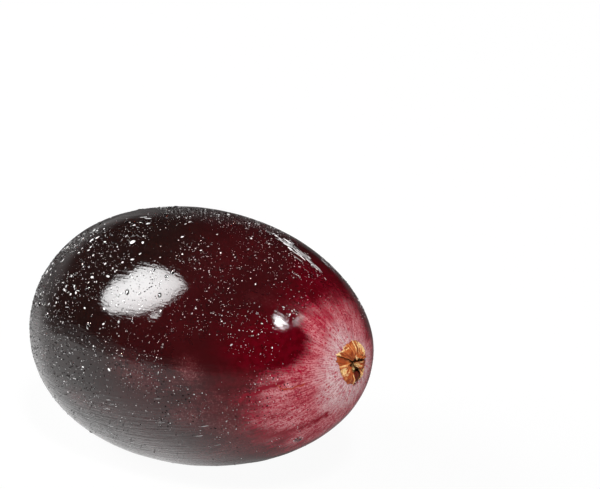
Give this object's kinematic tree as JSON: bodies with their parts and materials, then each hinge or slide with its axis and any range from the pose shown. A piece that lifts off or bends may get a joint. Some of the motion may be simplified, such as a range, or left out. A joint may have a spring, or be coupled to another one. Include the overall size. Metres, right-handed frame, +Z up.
{
  "type": "cranberry",
  "caption": "Fresh oblong cranberry lying on its side on a small flat spot, with a dry lobed calyx folded over one end and a stalk scar at the other.",
  "frame": {"origin": "centre of the part's footprint box, on the surface it lies on", "axes": "+X along the fruit's length towards the calyx, which is raised by 7.5 degrees, +Z up"},
  "size_m": [0.0208, 0.0136, 0.0134],
  "materials": {
    "fruit_skin": "glossy wet skin, nearly black wine red over the stalk half, running through red to streaked pink-white round the calyx",
    "dry_calyx": "dry fibrous husk, orange brown with straw-coloured edges"
  },
  "bodies": {
    "root": {"fruit": "fruit_skin", "calyx": "dry_calyx"}
  },
  "joints": []
}
